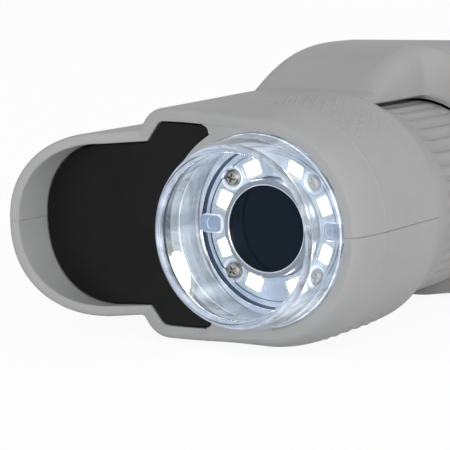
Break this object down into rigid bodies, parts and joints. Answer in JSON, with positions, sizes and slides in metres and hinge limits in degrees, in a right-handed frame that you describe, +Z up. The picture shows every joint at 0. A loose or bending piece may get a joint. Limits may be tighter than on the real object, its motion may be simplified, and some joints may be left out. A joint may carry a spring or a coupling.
{
  "type": "handheld digital microscope",
  "caption": "Handheld digital microscope: grey two-part case, clear lit contact tube, side hood with black panel, ribbed focus ring, rear display with keys and a tripod thread.",
  "frame": {"origin": "middle of the underside of the whole object", "axes": "+Z up, lens facing -Y, side hood towards -X"},
  "size_m": [0.0768, 0.1741, 0.0552],
  "materials": {
    "shell": "fine moulded texture",
    "grip": "fine moulded texture",
    "panel": "satin",
    "clear": "polished clear plastic",
    "lamp": "lit white lamp",
    "lamp_board": "white solder mask",
    "steel": "plain",
    "bezel": "turned",
    "front_glass": "coated dark glass",
    "optic_glass": "polished",
    "black_metal": "black anodised",
    "guide": "machined",
    "chip": "moulded",
    "board": "solder mask",
    "flex": "film",
    "display_glass": "polished dark",
    "lcd": "dark panel",
    "switch": "moulded",
    "key_red": "matte",
    "key_dark": "matte",
    "key_light": "matte",
    "battery": "shrink sleeve",
    "brass": "turned",
    "flap": "matte"
  },
  "bodies": {
    "case": {"upper_shell": "shell", "lower_shell": "shell", "nose_panel": "panel", "contact_tube": "clear", "lamps": "lamp", "lamp_board": "lamp_board", "ring_screws": "steel", "port_pin": "steel", "case_screws": "steel", "board_screws": "steel", "usb_socket": "steel", "card_socket": "steel", "lcd_bracket": "steel", "ir_filter": "optic_glass", "sensor_mount": "black_metal", "guide_tube": "guide", "image_sensor": "chip", "board_chips": "chip", "sensor_board": "board", "main_board": "board", "key_board": "board", "sensor_flex": "flex", "lcd_flex": "flex", "display_window": "display_glass", "lcd_panel": "lcd", "key_switches": "switch", "battery_pack": "battery", "tripod_bush": "brass", "battery_contacts": "brass"},
    "focus_grip": {"focus_ring": "grip"},
    "lens_group": {"lens_carriage": "black_metal", "lens_bezel": "bezel", "objective_glass": "front_glass", "spacer_ring": "black_metal", "objective_lens": "optic_glass", "rear_lens": "optic_glass", "focus_pin": "steel"},
    "power_key": {"key_power": "key_red"},
    "menu_key": {"key_menu": "key_dark"},
    "capture_key": {"key_capture": "key_light"},
    "up_key": {"key_up": "key_dark"},
    "down_key": {"key_down": "key_dark"},
    "door": {"battery_door": "shell"},
    "flap": {"port_cover": "flap"}
  },
  "joints": [
    {"name": "focus_turn", "type": "hinge", "parent": "case", "child": "focus_grip", "pos_m": [0.0139, -0.02996, 0.0231], "axis": [0, 1, 0], "range_deg": [0, 180]},
    {"name": "lens_travel", "type": "slide", "parent": "case", "child": "lens_group", "axis": [0, 1, 0], "range_m": [0, 0.012]},
    {"name": "power_press", "type": "slide", "parent": "case", "child": "power_key", "axis": [0, -0.2419, -0.9703], "range_m": [0, 0.0006], "stiffness_N_per_m": 900},
    {"name": "menu_press", "type": "slide", "parent": "case", "child": "menu_key", "axis": [0, -0.2419, -0.9703], "range_m": [0, 0.0006], "stiffness_N_per_m": 900},
    {"name": "capture_press", "type": "slide", "parent": "case", "child": "capture_key", "axis": [0, -0.2419, -0.9703], "range_m": [0, 0.0006], "stiffness_N_per_m": 900},
    {"name": "up_press", "type": "slide", "parent": "case", "child": "up_key", "axis": [0, -0.2419, -0.9703], "range_m": [0, 0.0006], "stiffness_N_per_m": 900},
    {"name": "down_press", "type": "slide", "parent": "case", "child": "down_key", "axis": [0, -0.2419, -0.9703], "range_m": [0, 0.0006], "stiffness_N_per_m": 900},
    {"name": "door_lift", "type": "slide", "parent": "case", "child": "door", "axis": [0, 0, -1], "range_m": [0, 0.02]},
    {"name": "flap_swing", "type": "hinge", "parent": "case", "child": "flap", "pos_m": [0, 0.08634, 0.013], "axis": [-1, 0, 0], "range_deg": [0, 100]}
  ],
  "couplings": [
    {"joint": "lens_travel", "follows": "focus_turn", "m_per_rad": 0.0038197}
  ]
}
